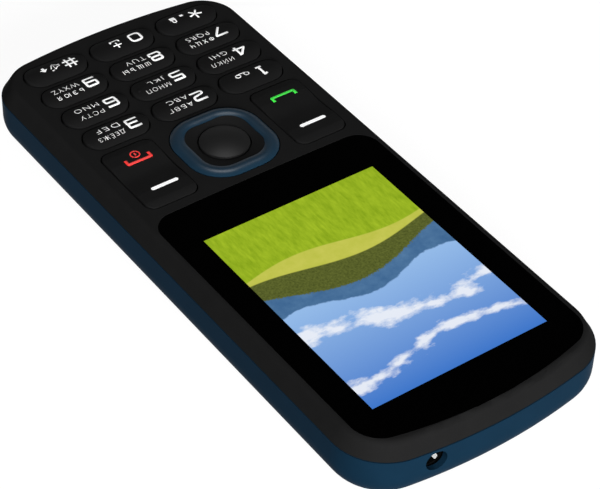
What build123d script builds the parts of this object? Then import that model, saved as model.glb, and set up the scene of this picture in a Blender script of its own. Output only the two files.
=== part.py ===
from build123d import *
import os
from math import atan2, degrees, sqrt

# Feature phone lying on its back: X across, +Y to the display end, +Z out of the display.
# The origin is the middle of the rear face. All sizes are millimetres.

# Casing sizes
body_width = 52.9
body_length = 125.12
body_depth = 13.0
seam_depth = 3.0
top_bow_radius = 111.0
bottom_bow_radius = 142.0
top_corner_radius = 10.5
bottom_corner_radius = 9.0
rear_edge_radius = 5.8
front_edge_radius = 1.2
frame_flare = 30
frame_wall = 1.7
frame_face = 1.5
cover_wall = 1.1
cover_gap = 0.25
seam_gap = 0.12
seam_step = 0.12
chassis_wall = 1.1
chassis_floor = 1.0
face_play = 0.05
overrun = 1.0
half_width = body_width / 2
body_top_y = body_length / 2
body_bottom_y = -body_length / 2
seam_z = body_depth - seam_depth
face_back = body_depth - frame_face
chassis_inset = cover_wall + cover_gap
chassis_base = chassis_inset
floor_top = chassis_base + chassis_floor
cavity_inset = chassis_inset + chassis_wall

# Display sizes
window_side_border = 2.85
window_top_border = 2.67
window_length_share = 0.53988
screen_side_border = 5.24
screen_top_border = 8.97
screen_bottom_border = 9.62
window_top_bow = 81.0
window_bottom_bow = 900.0
window_top_corner = 5.75
window_bottom_corner = 4.25
window_thickness = 0.8
window_recess = 0.03
window_fit = 0.08
tape_thickness = 0.15
tape_width = 1.6
tape_lap = 0.2
lcd_side_margin = 1.94
lcd_top_margin = 1.6
lcd_bottom_margin = 6.44
lcd_thickness = 0.95
lcd_glass_step = 2.6
backlight_thickness = 0.7
holder_wall = 0.5
holder_fit = 0.08
holder_lip = 0.4
holder_border = 1.5
window_width = body_width - 2 * window_side_border
window_length = body_length * window_length_share
window_top_y = body_top_y - window_top_border
window_bottom_y = window_top_y - window_length
screen_width = window_width - 2 * screen_side_border
screen_length = window_length - screen_top_border - screen_bottom_border
display_y = window_top_y - screen_top_border - screen_length / 2
lcd_width = screen_width + 2 * lcd_side_margin
lcd_length = screen_length + lcd_top_margin + lcd_bottom_margin
lcd_end_y = display_y + screen_length / 2 + lcd_top_margin
lcd_mid_y = lcd_end_y - lcd_length / 2
window_top = body_depth - window_recess
window_base = window_top - window_thickness
ledge_top = window_base - tape_thickness
lcd_top = face_back - face_play
lcd_base = lcd_top - lcd_thickness
backlight_base = lcd_base - backlight_thickness

# Keypad sizes
key_column_share = 0.28374
key_column_gap = 1.71
key_row_share = 0.05864
key_row_gap = 1.1
last_row_border = 8.39
bottom_key_trim = 0.45
key_gap = 0.26
key_proud = 0.03
key_crown = 0.55
key_edge_radius = 0.16
key_travel = 0.3
flange_lip = 0.45
flange_thickness = 0.4
post_radius = 1.2
nib_radius = 0.35
nib_inset = 1.35
function_key_lip = 0.09
function_key_nav_gap = 1.85
function_key_row_gap = 1.43
function_key_window_gap = 2.25
function_key_corner = 1.9
function_key_post_share = 0.294
rocker_crown = 0.31
crease_drop = 0.38
rock_room = 0.35
key_pitch_x = body_width * key_column_share
key_pitch_y = body_length * key_row_share
key_length = key_pitch_x - key_column_gap
key_height = key_pitch_y - key_row_gap
key_columns = [-key_pitch_x, 0, key_pitch_x]
last_row_y = body_bottom_y + last_row_border
key_rows = [last_row_y + step * key_pitch_y for step in (3, 2, 1, 0)]
first_row_top_y = key_rows[0] + key_height / 2
function_key_room = window_bottom_y - first_row_top_y
function_key_length = function_key_room - function_key_row_gap - function_key_window_gap
function_key_post_y = function_key_length * function_key_post_share

# Navigation key sizes
nav_margin = 0.35
nav_corner_step = 2.2
nav_band = 2.67
nav_gap = 0.2
nav_crest = 0.62
nav_outer_rise = 0.03
nav_inner_rise = 0.35
dish_gap = 0.03
dish_border = 1.51
dish_rim_sink = 0.15
dish_thickness = 1.2
ok_gap = 0.27
ok_proud = 0.1
ok_crown = 0.6
ok_flange_lip = 0.49
pad_hole_gap = 0.4
pad_thickness = 0.4
pad_lap = 0.4
pad_post_radius = 0.9
pivot_radius = 0.6
nav_y = first_row_top_y + function_key_row_gap + function_key_length / 2
nav_half = function_key_length / 2 + nav_margin
nav_corner = nav_half - nav_corner_step
nav_inner_half = nav_half - nav_band
nav_inner_corner = nav_corner - nav_band
dish_hole_radius = nav_inner_half - dish_border
ok_radius = dish_hole_radius - ok_gap
ok_flange_radius = ok_radius + ok_flange_lip
pad_hole_radius = ok_flange_radius + pad_hole_gap
pad_post_reach = (pad_hole_radius + nav_half) / 2
pivot_reach = (nav_half + nav_inner_half) / 2
function_key_inner_x = nav_half + function_key_nav_gap
function_key_outer_x = key_pitch_x + key_length / 2 + function_key_lip
function_key_width = function_key_outer_x - function_key_inner_x
function_key_x = (function_key_inner_x + function_key_outer_x) / 2
function_key_places = [(-function_key_x, nav_y), (function_key_x, nav_y)]

# Board, domes and mat sizes
board_depth = 3.6
board_thickness = 0.9
board_gap = 0.35
dome_sheet_thickness = 0.08
dome_rise = 0.2
dome_radius = 2.0
post_clearance = 0.05
mat_thickness = 0.35
mat_clearance = 0.27
mat_rim = 0.8
mat_hole_gap = 0.4
mat_corner = 4.5
light_size = 0.8
light_height = 0.4
light_xs = [-key_pitch_x / 2, key_pitch_x / 2]
light_ys = [key_rows[0] - key_pitch_y / 2, key_rows[1] - key_pitch_y / 2]
board_top = body_depth - board_depth
board_base = board_top - board_thickness
sheet_top = board_top + dome_sheet_thickness
dome_top = sheet_top + dome_rise
post_base = dome_top + key_travel + post_clearance
mat_base = dome_top + mat_clearance
mat_top = mat_base + mat_thickness
flange_top = face_back - face_play
rocker_flange_top = face_back - rock_room
cap_top = body_depth + key_proud

# Screw sizes
screw_radius = 0.7
screw_hole_gap = 0.02
screw_clearance = 0.15
screw_head_radius = 1.25
screw_head_height = 0.8
screw_recess = 3.85
screw_bite = 1.4
screw_drive_radius = 0.6
screw_drive_sides = 6
screw_drive_depth = 0.45
boss_radius = 1.5
chassis_boss_radius = 2.0
top_screw_side_border = 6.85
top_screw_border = 7.16
middle_screw_side_border = 4.25
middle_screw_rise = 0.66
top_screw_x = half_width - top_screw_side_border
top_screw_y = body_top_y - top_screw_border
middle_screw_x = half_width - middle_screw_side_border
middle_screw_y = window_bottom_y + middle_screw_rise
bottom_screw_x = key_pitch_x / 2
bottom_screw_y = last_row_y + key_pitch_y / 2
screw_seat_z = chassis_base + screw_recess
screw_length = board_top + screw_bite - screw_seat_z
corner_screws = [(top_screw_x, top_screw_y), (-top_screw_x, top_screw_y)]
middle_screws = [(middle_screw_x, middle_screw_y), (-middle_screw_x, middle_screw_y)]
bottom_screws = [(bottom_screw_x, bottom_screw_y), (-bottom_screw_x, bottom_screw_y)]
screw_places = corner_screws + middle_screws + bottom_screws

# SIM, battery and bay sizes
sim_width = 15.0
sim_length = 25.0
sim_thickness = 0.76
sim_corner_cut = 3.0
sim_pitch = 17.2
sim_slot_fit = 0.1
sim_holder_wall = 0.5
sim_holder_length = 14.0
sim_holder_lip = 0.25
sim_travel = 12.0
sim_window_margin = 0.6
sim_bay_border = 4.8
bay_bottom_border = 21.26
bay_screw_gap = 3.9
bay_wall = 1.0
bay_roof = 0.8
roof_drop = 0.09
battery_length_share = 0.42359
battery_edge_radius = 0.9
battery_fit = 0.3
battery_roof_gap = 0.2
connector_width = 12.0
connector_length = 3.4
connector_step = 2.15
contact_pitch = 3.5
contact_count = 3
contact_width = 1.2
contact_height = 2.4
contact_gap = 0.15
sim_base = board_base - sim_holder_lip - sim_slot_fit - sim_thickness
holder_base = sim_base - sim_slot_fit - sim_holder_lip
roof_underside = holder_base - roof_drop
roof_top = roof_underside + bay_roof
battery_base = chassis_base
battery_thickness = roof_underside - battery_roof_gap - battery_base
battery_width = 2 * (middle_screw_x - bay_screw_gap - bay_wall - battery_fit)
battery_length = body_length * battery_length_share
bay_width = battery_width + 2 * battery_fit
bay_length = battery_length + 2 * battery_fit
bay_low_y = body_bottom_y + bay_bottom_border
bay_centre_y = bay_low_y + bay_length / 2
bay_outer_top_y = bay_low_y + bay_length + bay_wall
sim_low_y = bay_low_y + sim_bay_border
sim_mid_y = sim_low_y + sim_length / 2
connector_height = board_base - battery_base - connector_step

# Socket sizes
jack_screw_gap = 6.35
jack_seam_drop = 2.55
jack_bore_radius = 1.78
jack_width = 6.0
jack_height = 4.5
jack_body_length = 11.0
jack_depth = 11.5
jack_nose_radius = 2.3
jack_hole_radius = 2.0
jack_notch_width = 2.8
seat_gap = 0.1
contact_strip_depth = 0.35
contact_strip_width = 0.8
contact_strip_length = 1.2
contact_strip_turn = 227
usb_width = 7.5
usb_height = 2.6
usb_length = 5.6
usb_wall = 0.3
usb_tongue_width = 3.8
usb_tongue_thickness = 0.6
usb_window_gap = 0.35
jack_x = top_screw_x - jack_screw_gap
jack_z = seam_z - jack_seam_drop
usb_z = board_base - usb_height / 2
usb_mouth_y = body_bottom_y + chassis_inset + seat_gap

# Shield, sound, motor, antenna and flat cable sizes
shield_bay_gap = 1.7
shield_top_border = 23.56
shield_height = 1.6
shield_sheet = 0.2
shield_corner = 1.0
chip_width_shares = [0.265, 0.235]
chip_length_shares = [0.375, 0.4167]
chip_side_shares = [-0.235, 0.206]
chip_height = 0.9
speaker_place_share = 0.3796
speaker_radius = 7.5
speaker_shield_gap = 0.95
speaker_ring = 1.0
speaker_seat_gap = 0.1
grille_slot_length = 8.0
grille_slot_width = 0.9
grille_pitch = 2.4
grille_count = 5
earpiece_width = 10.0
earpiece_length = 5.2
earpiece_depth = 1.6
earpiece_border = 6.46
earpiece_slot_width = 8.0
mic_x = -12.0
mic_border = 5.76
mic_radius = 2.0
mic_depth = 1.3
mic_hole_radius = 0.45
motor_side_border = 11.45
motor_top_border = 16.56
motor_length = 8.0
motor_shaft_radius = 0.4
motor_shaft_gap = 0.05
motor_weight_step = 0.3
motor_weight_length = 3.4
motor_weight_gap = 0.4
motor_floor_gap = 0.35
motor_room_gap = 0.775
motor_cradle_wall = 0.8
motor_cradle_gap = 0.05
motor_cradle_length = 6.0
antenna_width = 24.0
antenna_length = 3.0
antenna_sheet = 0.2
antenna_border = 8.16
cable_width = 12.0
cable_thickness = 0.15
cable_run = 2.4
cable_lap = 1.56
shield_low_y = bay_outer_top_y + shield_bay_gap
shield_length = body_top_y - shield_top_border - shield_low_y
shield_width = battery_width
shield_y = shield_low_y + shield_length / 2
speaker_y = bay_outer_top_y + (body_top_y - bay_outer_top_y) * speaker_place_share
speaker_depth = board_base - shield_height - speaker_shield_gap - floor_top
earpiece_y = body_top_y - earpiece_border
mic_y = body_bottom_y + mic_border
mic_z = board_base - mic_depth / 2
motor_weight_radius = (board_base - floor_top) / 2 - motor_room_gap
motor_radius = motor_weight_radius - motor_weight_step
motor_x = motor_side_border - half_width
motor_y = body_top_y - motor_top_border
motor_z = floor_top + motor_floor_gap + motor_weight_radius
antenna_y = body_bottom_y + antenna_border


def bowed_outline(half, top_y, bottom_y, top_bow, bottom_bow, top_corner, bottom_corner, inset):
    """Outline with bowed ends and round corners, drawn this far inside its own rim."""
    top_mid = top_y - top_bow
    bottom_mid = bottom_y + bottom_bow
    top_x = half - top_corner
    bottom_x = half - bottom_corner
    top_rise = sqrt((top_bow - top_corner) ** 2 - top_x**2)
    bottom_rise = sqrt((bottom_bow - bottom_corner) ** 2 - bottom_x**2)
    top_turn = degrees(atan2(top_rise, top_x))
    bottom_turn = degrees(atan2(bottom_rise, bottom_x))
    edge_x = half - inset
    with BuildSketch() as face:
        with BuildLine():
            CenterArc((0, top_mid), top_bow - inset, top_turn, 90 - top_turn)
            CenterArc((top_x, top_mid + top_rise), top_corner - inset, 0, top_turn)
            Line((edge_x, top_mid + top_rise), (edge_x, bottom_mid - bottom_rise))
            CenterArc((bottom_x, bottom_mid - bottom_rise), bottom_corner - inset, -bottom_turn, bottom_turn)
            CenterArc((0, bottom_mid), bottom_bow - inset, -90, 90 - bottom_turn)
            mirror(about=Plane.YZ)
        make_face()
    return face.sketch


def body_outline(inset):
    """The casing's outline at the seam."""
    bows = (top_bow_radius, bottom_bow_radius, top_corner_radius, bottom_corner_radius)
    return bowed_outline(half_width, body_top_y, body_bottom_y, *bows, inset)


def window_outline(inset):
    """The display window's outline."""
    bows = (window_top_bow, window_bottom_bow, window_top_corner, window_bottom_corner)
    return bowed_outline(window_width / 2, window_top_y, window_bottom_y, *bows, inset)


def body_edge_y(x, inset):
    """Height up the page of the casing's top end over this place across."""
    bow = top_bow_radius - inset
    return body_top_y - top_bow_radius + sqrt(bow**2 - x**2)


def body_block(inset, base, top, edge):
    """Block with the casing's outline, rounded along its lower edge."""
    with BuildPart() as block:
        with BuildSketch(Plane.XY.offset(base)):
            add(body_outline(inset))
        extrude(amount=top - base)
        fillet(block.faces().sort_by(Axis.Z)[0].edges(), radius=edge)
    return block.part


def slab(sketch, base, thickness):
    """Flat piece of this shape, from its base up."""
    with BuildPart() as piece:
        with BuildSketch(Plane.XY.offset(base)):
            add(sketch)
        extrude(amount=thickness)
    return piece.part


def box(width, length, centre, base, thickness):
    """Upright box about a place on the page."""
    with BuildPart() as piece:
        with BuildSketch(Plane.XY.offset(base)):
            with Locations(centre):
                Rectangle(width, length)
        extrude(amount=thickness)
    return piece.part


def posts(places, radius, base, thickness):
    """Upright round posts at these places."""
    with BuildPart() as piece:
        with BuildSketch(Plane.XY.offset(base)):
            with Locations(*places):
                Circle(radius)
        extrude(amount=thickness)
    return piece.part


def finish(part, name):
    """Name a finished piece and write it."""
    part.label = name
    export_step(part, "parts/" + name + ".step")


def number_keys():
    """Name, place and length of each number key, left to right and top to bottom."""
    names = ["1", "2", "3", "4", "5", "6", "7", "8", "9", "star", "0", "hash"]
    keys = []
    for index, name in enumerate(names):
        x = key_columns[index % len(key_columns)]
        y = key_rows[index // len(key_columns)]
        length = key_length
        if y == key_rows[-1] and x != 0:
            length = key_length - bottom_key_trim
            x = x - bottom_key_trim / 2 if x > 0 else x + bottom_key_trim / 2
        keys.append((name, x, y, length))
    return keys


def key_shapes(grow):
    """Plan of all keys, each grown by this much all round."""
    with BuildSketch() as plan:
        for name, x, y, length in number_keys():
            with Locations((x, y)):
                SlotOverall(length + 2 * grow, key_height + 2 * grow)
        with Locations(*function_key_places):
            size = (function_key_width + 2 * grow, function_key_length + 2 * grow)
            RectangleRounded(*size, function_key_corner + grow)
    return plan.sketch


def nav_shape(half, corner):
    """Rounded square about the navigation key's centre."""
    with BuildSketch() as plan:
        with Locations((0, nav_y)):
            RectangleRounded(2 * half, 2 * half, corner)
    return plan.sketch


def dome_places():
    """Centres of the switch domes."""
    places = [(x, y) for name, x, y, length in number_keys()]
    for x, y in function_key_places:
        places += [(x, y + function_key_post_y), (x, y - function_key_post_y)]
    return places + nav_dome_places() + [(0, nav_y)]


def nav_dome_places():
    """Centres of the four domes under the navigation key."""
    reach = pad_post_reach
    return [(reach, nav_y), (-reach, nav_y), (0, nav_y + reach), (0, nav_y - reach)]


def build_front_frame():
    """Front shell: flared rim, window pocket, key openings and screw bosses."""
    with BuildPart() as frame:
        with BuildSketch(Plane.XY.offset(seam_z)):
            add(body_outline(seam_step))
        extrude(amount=seam_depth, taper=frame_flare)
        fillet(frame.faces().sort_by(Axis.Z)[-1].edges(), radius=front_edge_radius)
        add(slab(body_outline(frame_wall), seam_z - overrun, overrun + face_back - seam_z),
            mode=Mode.SUBTRACT)
        add(slab(window_outline(-window_fit), ledge_top, overrun + frame_face), mode=Mode.SUBTRACT)
        with BuildSketch(Plane.XY.offset(face_back - overrun)):
            with Locations((0, display_y)):
                Rectangle(screen_width + 2 * tape_width, screen_length + 2 * tape_width)
            add(key_shapes(key_gap))
            add(nav_shape(nav_half + nav_gap, nav_corner + nav_gap))
        extrude(amount=2 * overrun + frame_face, mode=Mode.SUBTRACT)
        add(posts(screw_places, boss_radius, board_top, face_back - board_top))
        hole_top = screw_seat_z + screw_length + 2 * screw_hole_gap
        add(posts(screw_places, screw_radius + screw_hole_gap, board_top - overrun,
                  overrun + hole_top - board_top), mode=Mode.SUBTRACT)
        add(box(earpiece_slot_width, 2 * window_fit, (0, window_top_y), face_back - overrun,
                2 * overrun + frame_face), mode=Mode.SUBTRACT)
    finish(frame.part, "front_frame")


def build_display():
    """Window, its tape, the LCD cell, the backlight, the holder and the flat cable."""
    with BuildPart() as window:
        with BuildSketch(Plane.XY.offset(window_base)):
            add(window_outline(0))
        extrude(amount=window_thickness)
    finish(window.part, "display_window")

    with BuildPart() as tape:
        with BuildSketch(Plane.XY.offset(ledge_top)):
            add(window_outline(tape_lap))
            with Locations((0, display_y)):
                Rectangle(screen_width + 2 * tape_width, screen_length + 2 * tape_width, mode=Mode.SUBTRACT)
        extrude(amount=tape_thickness)
    finish(tape.part, "window_tape")

    with BuildPart() as cell:
        with BuildSketch(Plane.XY.offset(lcd_base)):
            with Locations((0, lcd_mid_y)):
                Rectangle(lcd_width, lcd_length)
        extrude(amount=lcd_thickness)
        with BuildSketch(Plane.XY.offset(lcd_base + lcd_thickness / 2)):
            with Locations((0, lcd_mid_y - lcd_length / 2 + lcd_glass_step / 2)):
                Rectangle(lcd_width, lcd_glass_step)
        extrude(amount=lcd_thickness, mode=Mode.SUBTRACT)
    finish(cell.part, "lcd_cell")

    finish(box(lcd_width, lcd_length, (0, lcd_mid_y), backlight_base, backlight_thickness), "backlight")

    holder_width = lcd_width + 2 * (holder_wall + holder_fit)
    holder_length = lcd_length + 2 * (holder_wall + holder_fit)
    with BuildPart() as holder:
        with BuildSketch(Plane.XY.offset(board_top)):
            with Locations((0, lcd_mid_y)):
                Rectangle(holder_width, holder_length)
        extrude(amount=backlight_base + holder_lip - board_top + backlight_thickness / 2)
        add(box(lcd_width + 2 * holder_fit, lcd_length + 2 * holder_fit, (0, lcd_mid_y), backlight_base,
                backlight_thickness + overrun), mode=Mode.SUBTRACT)
        add(box(lcd_width - 2 * holder_border, lcd_length - 2 * holder_border, (0, lcd_mid_y),
                board_top - overrun, 2 * overrun), mode=Mode.SUBTRACT)
        notch_length = 2 * (holder_border + holder_wall + holder_fit) + holder_wall
        add(box(cable_width + holder_wall, notch_length, (0, lcd_mid_y - holder_length / 2),
                board_top - overrun, 3 * overrun), mode=Mode.SUBTRACT)
        add(box(jack_width + 2 * board_gap, notch_length, (jack_x, lcd_mid_y + holder_length / 2),
                board_top - overrun, backlight_base - board_top + overrun), mode=Mode.SUBTRACT)
    finish(holder.part, "lcd_holder")

    cable_y = lcd_mid_y - lcd_length / 2
    shelf = lcd_base + lcd_thickness / 2
    with BuildPart() as cable:
        with BuildSketch(Plane.YZ.offset(-cable_width / 2)):
            with BuildLine():
                Polyline(
                    (cable_y + cable_lap, shelf),
                    (cable_y + cable_lap, shelf + cable_thickness),
                    (cable_y - 2 * cable_thickness, shelf + cable_thickness),
                    (cable_y - 2 * cable_thickness, sheet_top),
                    (cable_y - cable_run, sheet_top),
                    (cable_y - cable_run, board_top),
                    (cable_y - cable_thickness, board_top),
                    (cable_y - cable_thickness, shelf),
                    close=True,
                )
            make_face()
        extrude(amount=cable_width)
    finish(cable.part, "lcd_cable")


def build_number_keys():
    """Crowned stadium caps with a flange under the face and a post over the dome."""
    for name, x, y, length in number_keys():
        with BuildPart() as key:
            with BuildSketch(Plane.XY.offset(flange_top - flange_thickness)):
                with Locations((x, y)):
                    SlotOverall(length, key_height)
            extrude(amount=cap_top + key_crown - flange_top + flange_thickness)
            with BuildSketch(Plane.YZ.offset(x - length)):
                with BuildLine():
                    ends = ((y - key_height / 2, cap_top), (y + key_height / 2, cap_top))
                    ThreePointArc(ends[0], (y, cap_top + key_crown), ends[1])
                    high = cap_top + key_crown + overrun
                    Polyline(ends[1], (ends[1][0] + overrun, cap_top), (ends[1][0] + overrun, high),
                             (ends[0][0] - overrun, high), (ends[0][0] - overrun, cap_top), ends[0])
                make_face()
            extrude(amount=2 * length, mode=Mode.SUBTRACT)
            fillet(key.faces().sort_by(Axis.Z)[-1].edges(), radius=key_edge_radius)
            if name == "5":
                with Locations((x + length / 2 - nib_inset, y, cap_top + key_crown - nib_radius / 2)):
                    Sphere(nib_radius)
            with BuildSketch(Plane.XY.offset(flange_top - flange_thickness)):
                with Locations((x, y)):
                    SlotOverall(length + 2 * flange_lip, key_height + 2 * flange_lip)
            extrude(amount=flange_thickness)
            add(posts([(x, y)], post_radius, post_base, flange_top - flange_thickness - post_base))
        finish(key.part, "key_" + name)


def build_function_keys():
    """Tall rocking caps, each creased across its middle, with two posts."""
    low = rocker_flange_top - flange_thickness
    half = function_key_length / 2
    for name, (x, y) in zip(["left", "right"], function_key_places):
        with BuildPart() as key:
            with BuildSketch(Plane.XY.offset(low)):
                with Locations((x, y)):
                    RectangleRounded(function_key_width, function_key_length, function_key_corner)
            extrude(amount=cap_top + rocker_crown - low)
            with BuildSketch(Plane.YZ.offset(x - function_key_width)):
                with BuildLine():
                    start = (y - half, cap_top)
                    end = (y + half, cap_top)
                    crest = cap_top + rocker_crown
                    crease = (y, crest - crease_drop)
                    Spline(start, (y - half / 2, crest), crease, (y + half / 2, crest), end)
                    high = crest + overrun
                    Polyline(end, (y + half + overrun, cap_top), (y + half + overrun, high),
                             (y - half - overrun, high), (y - half - overrun, cap_top), start)
                make_face()
            extrude(amount=2 * function_key_width, mode=Mode.SUBTRACT)
            fillet(key.faces().sort_by(Axis.Z)[-1].edges(), radius=key_edge_radius)
            with BuildSketch(Plane.XY.offset(low)):
                with Locations((x, y)):
                    size = (function_key_width + 2 * flange_lip, function_key_length + 2 * flange_lip)
                    RectangleRounded(*size, function_key_corner + flange_lip)
            extrude(amount=flange_thickness)
            places = [(x, y + function_key_post_y), (x, y - function_key_post_y)]
            add(posts(places, post_radius, post_base, low - post_base))
        finish(key.part, "function_key_" + name)


def build_navigation_key():
    """Blue ring, its dished inlay, the rubber pad that it tilts on and the centre key."""
    ring_base = face_back
    mid_half = (nav_half + nav_inner_half) / 2
    mid_corner = (nav_corner + nav_inner_corner) / 2
    with BuildPart() as ring:
        with BuildLine(Plane.XY.offset(ring_base)) as path:
            reach = mid_half - mid_corner
            Line((mid_half, nav_y - reach), (mid_half, nav_y + reach))
            CenterArc((reach, nav_y + reach), mid_corner, 0, 90)
            Line((reach, nav_y + mid_half), (-reach, nav_y + mid_half))
            CenterArc((-reach, nav_y + reach), mid_corner, 90, 90)
            Line((-mid_half, nav_y + reach), (-mid_half, nav_y - reach))
            CenterArc((-reach, nav_y - reach), mid_corner, 180, 90)
            Line((-reach, nav_y - mid_half), (reach, nav_y - mid_half))
            CenterArc((reach, nav_y - reach), mid_corner, 270, 90)
        with BuildSketch(Plane.XZ.offset(-(nav_y - reach))):
            with BuildLine():
                outer = (nav_half, body_depth + nav_outer_rise)
                inner = (nav_inner_half, body_depth + nav_inner_rise)
                Line((nav_inner_half, ring_base), (nav_half, ring_base))
                Line((nav_half, ring_base), outer)
                ThreePointArc(outer, (mid_half, body_depth + nav_crest), inner)
                Line(inner, (nav_inner_half, ring_base))
            make_face()
        sweep(path=path.wire())
    finish(ring.part, "nav_ring")

    with BuildPart() as dish:
        base = body_depth + nav_inner_rise - dish_thickness
        inlay_half = nav_inner_half - dish_gap
        inlay_corner = nav_inner_corner - dish_gap
        corner_reach = (inlay_half - inlay_corner) * sqrt(2) + inlay_corner
        with BuildSketch(Plane.XY.offset(base)):
            add(nav_shape(inlay_half, inlay_corner))
        extrude(amount=dish_thickness)
        with BuildSketch(Plane.XZ.offset(-nav_y)):
            with BuildLine():
                rim = body_depth - dish_rim_sink
                top = body_depth + nav_inner_rise
                Polyline((0, rim), (dish_hole_radius, rim), (corner_reach, top), (0, top), close=True)
            make_face()
        revolve(axis=Axis((0, nav_y, 0), (0, 0, 1)), mode=Mode.SUBTRACT)
        add(posts([(0, nav_y)], dish_hole_radius, base - overrun, dish_thickness + 2 * overrun),
            mode=Mode.SUBTRACT)
    finish(dish.part, "nav_inlay")

    pad_top = rocker_flange_top
    with BuildPart() as pad:
        with BuildSketch(Plane.XY.offset(pad_top - pad_thickness)):
            add(nav_shape(nav_half + pad_lap, nav_corner + pad_lap))
            with Locations((0, nav_y)):
                Circle(pad_hole_radius, mode=Mode.SUBTRACT)
        extrude(amount=pad_thickness)
        add(posts(nav_dome_places(), pad_post_radius, post_base, pad_top - pad_thickness - post_base))
        pivots = [(0, nav_y + pivot_reach), (0, nav_y - pivot_reach)]
        add(posts(pivots, pivot_radius, pad_top, face_back - pad_top - face_play))
    finish(pad.part, "nav_pad")

    ok_top = body_depth + ok_proud
    ok_flange_top = body_depth + nav_inner_rise - dish_thickness - rock_room
    with BuildPart() as centre:
        with BuildSketch(Plane.XY.offset(ok_flange_top - flange_thickness)):
            with Locations((0, nav_y)):
                Circle(ok_flange_radius)
        extrude(amount=flange_thickness)
        add(posts([(0, nav_y)], ok_radius, ok_flange_top, ok_top + ok_crown - ok_flange_top))
        with BuildSketch(Plane.XZ.offset(-nav_y)):
            with BuildLine():
                high = ok_top + ok_crown + overrun
                wide = ok_radius + overrun
                ThreePointArc((-ok_radius, ok_top), (0, ok_top + ok_crown), (ok_radius, ok_top))
                Polyline((ok_radius, ok_top), (wide, ok_top), (wide, high), (-wide, high), (-wide, ok_top),
                         (-ok_radius, ok_top))
            make_face()
            split(bisect_by=Plane.YZ)
        revolve(axis=Axis((0, nav_y, 0), (0, 0, 1)), mode=Mode.SUBTRACT)
        fillet(centre.faces().sort_by(Axis.Z)[-1].edges().sort_by(Axis.Z)[0], radius=key_edge_radius)
        add(posts([(0, nav_y)], post_radius, post_base, ok_flange_top - flange_thickness - post_base))
    finish(centre.part, "ok_key")


def keypad_plan():
    """Shape of the keypad's layers, open at the screw bosses."""
    low_y = key_rows[-1] - key_height / 2 - flange_lip
    high_y = nav_y + pad_post_reach + dome_radius + mat_rim + mat_hole_gap
    width = 2 * function_key_x + function_key_width + 2 * flange_lip
    with BuildSketch() as plan:
        with Locations((0, (low_y + high_y) / 2)):
            RectangleRounded(width, high_y - low_y, mat_corner)
        with Locations(*bottom_screws):
            Circle(boss_radius + mat_hole_gap, mode=Mode.SUBTRACT)
    return plan.sketch


def light_places():
    """Centres of the key lights, between the caps."""
    return [(x, y) for x in light_xs for y in light_ys]


def build_keypad_layers():
    """Dome sheet and lights on the board, and the rubber mat that stands round them."""
    with BuildPart() as dome:
        with BuildSketch(Plane.XZ):
            with BuildLine():
                ThreePointArc((-dome_radius, sheet_top), (0, dome_top), (dome_radius, sheet_top))
                Line((dome_radius, sheet_top), (-dome_radius, sheet_top))
            make_face()
            split(bisect_by=Plane.YZ)
        revolve(axis=Axis.Z)
    with BuildPart() as sheet:
        with BuildSketch(Plane.XY.offset(board_top)):
            add(keypad_plan())
            with Locations(*light_places()):
                Rectangle(light_size + mat_hole_gap, light_size + mat_hole_gap, mode=Mode.SUBTRACT)
        extrude(amount=dome_sheet_thickness)
        with Locations(*dome_places()):
            add(dome.part)
    finish(sheet.part, "dome_sheet")

    with BuildPart() as lights:
        with BuildSketch(Plane.XY.offset(board_top)):
            with Locations(*light_places()):
                Rectangle(light_size, light_size)
        extrude(amount=light_height)
    finish(lights.part, "key_lights")

    with BuildPart() as mat:
        with BuildSketch(Plane.XY.offset(sheet_top)):
            add(keypad_plan())
        extrude(amount=mat_top - sheet_top)
        with BuildSketch(Plane.XY.offset(sheet_top - overrun)):
            add(keypad_plan())
            offset(amount=-mat_rim, mode=Mode.REPLACE)
        extrude(amount=overrun + mat_base - sheet_top, mode=Mode.SUBTRACT)
        add(posts(dome_places(), post_radius + mat_hole_gap, mat_base - overrun, 3 * overrun),
            mode=Mode.SUBTRACT)
    finish(mat.part, "keypad_mat")


def jack_end_y():
    """Height up the page of the socket body's outer end, inside the bowed wall."""
    return body_edge_y(jack_x + jack_width / 2, cavity_inset) - seat_gap


def jack_mouth_y():
    """Height up the page of the socket's mouth, inside the rear cover."""
    return body_edge_y(jack_x, chassis_inset) - seat_gap


def upright_box(width, height, centre, end_y, length):
    """Box about a place on an end wall, running down the page from end_y."""
    with BuildPart() as piece:
        with BuildSketch(Plane.XZ.offset(-end_y)):
            with Locations(centre):
                Rectangle(width, height)
        extrude(amount=length)
    return piece.part


def upright_round(radius, centre, end_y, length):
    """Round bar about a place on an end wall, running down the page from end_y."""
    with BuildPart() as piece:
        with BuildSketch(Plane.XZ.offset(-end_y)):
            with Locations(centre):
                Circle(radius)
        extrude(amount=length)
    return piece.part


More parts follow.
